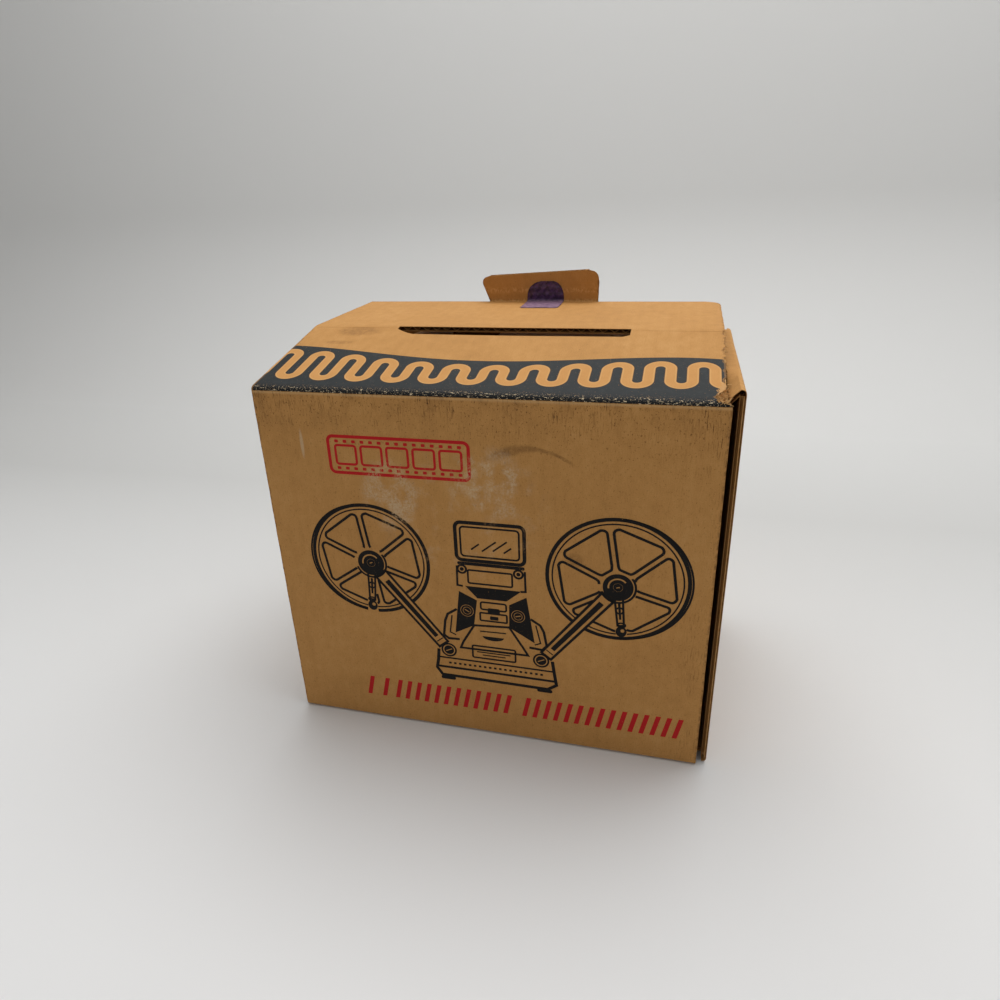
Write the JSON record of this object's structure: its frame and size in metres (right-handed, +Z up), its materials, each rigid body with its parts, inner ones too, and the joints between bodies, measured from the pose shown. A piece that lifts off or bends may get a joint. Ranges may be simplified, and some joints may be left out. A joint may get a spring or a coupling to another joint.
{
  "type": "corrugated carton",
  "caption": "Upright corrugated shipping and storage carton with a swing-down front panel, a creased lid with a hand slot, tuck-in dust flaps and a taped locking tab.",
  "frame": {"origin": "middle of the carton's base, halfway along the front panel and halfway between the front and rear faces, on the floor", "axes": "+X to the right as seen from the front, +Y to the rear, +Z up; the printed front panel faces -Y"},
  "size_m": [0.2575, 0.1695, 0.2602],
  "materials": {
    "printed_kraft": "matte",
    "kraft_outside": "matte",
    "kraft_inside": "matte",
    "fluted_medium": "matte",
    "mauve_tape": "satin"
  },
  "bodies": {
    "tray": {"rear_panel_outer_liner": "kraft_outside", "rear_panel_flutes": "fluted_medium", "rear_panel_inner_liner": "kraft_inside", "bottom_panel_outer_liner": "kraft_outside", "bottom_panel_flutes": "fluted_medium", "bottom_panel_inner_liner": "kraft_inside", "left_wall_outer_liner": "kraft_outside", "left_wall_flutes": "fluted_medium", "left_wall_inner_liner": "kraft_inside", "right_wall_outer_liner": "kraft_outside", "right_wall_flutes": "fluted_medium", "right_wall_inner_liner": "kraft_inside", "left_bottom_flap_outer_liner": "kraft_outside", "left_bottom_flap_flutes": "fluted_medium", "left_bottom_flap_inner_liner": "kraft_inside", "right_bottom_flap_outer_liner": "kraft_outside", "right_bottom_flap_flutes": "fluted_medium", "right_bottom_flap_inner_liner": "kraft_inside"},
    "front_panel": {"front_panel_outer_liner": "printed_kraft", "front_panel_flutes": "fluted_medium", "front_panel_inner_liner": "kraft_inside"},
    "lid_front": {"lid_front_outer_liner": "printed_kraft", "lid_front_flutes": "fluted_medium", "lid_front_inner_liner": "kraft_inside"},
    "lid_rear": {"lid_rear_outer_liner": "printed_kraft", "lid_rear_flutes": "fluted_medium", "lid_rear_inner_liner": "kraft_inside", "tape_on_lid": "mauve_tape"},
    "tab": {"tab_outer_liner": "kraft_outside", "tab_flutes": "fluted_medium", "tab_inner_liner": "kraft_inside", "tape_on_tab": "mauve_tape"},
    "left_dust_flap": {"left_dust_flap_outer_liner": "kraft_outside", "left_dust_flap_flutes": "fluted_medium", "left_dust_flap_inner_liner": "kraft_inside"},
    "right_dust_flap": {"right_dust_flap_outer_liner": "kraft_outside", "right_dust_flap_flutes": "fluted_medium", "right_dust_flap_inner_liner": "kraft_inside"}
  },
  "joints": [
    {"name": "front_fold", "type": "hinge", "parent": "tray", "child": "front_panel", "pos_m": [0, -0.083, 0], "axis": [1, 0, 0], "range_deg": [0, 90]},
    {"name": "lid_fold", "type": "hinge", "parent": "front_panel", "child": "lid_front", "pos_m": [0, -0.083, 0.2164], "axis": [1, 0, 0], "range_deg": [0, 76.3]},
    {"name": "slot_crease", "type": "hinge", "parent": "lid_front", "child": "lid_rear", "pos_m": [0, -0.00308, 0.23434], "axis": [1, 0, 0], "range_deg": [-8, 11.8]},
    {"name": "tab_fold", "type": "hinge", "parent": "lid_rear", "child": "tab", "pos_m": [0, 0.08525, 0.23727], "axis": [-1, 0, 0], "range_deg": [0, 185]},
    {"name": "left_flap_fold", "type": "hinge", "parent": "tray", "child": "left_dust_flap", "pos_m": [-0.1232, 0, 0.208], "axis": [0, 1, 0], "range_deg": [0, 80]},
    {"name": "right_flap_fold", "type": "hinge", "parent": "tray", "child": "right_dust_flap", "pos_m": [0.1277, 0, 0.219], "axis": [0, -1, 0], "range_deg": [0, 80]}
  ]
}
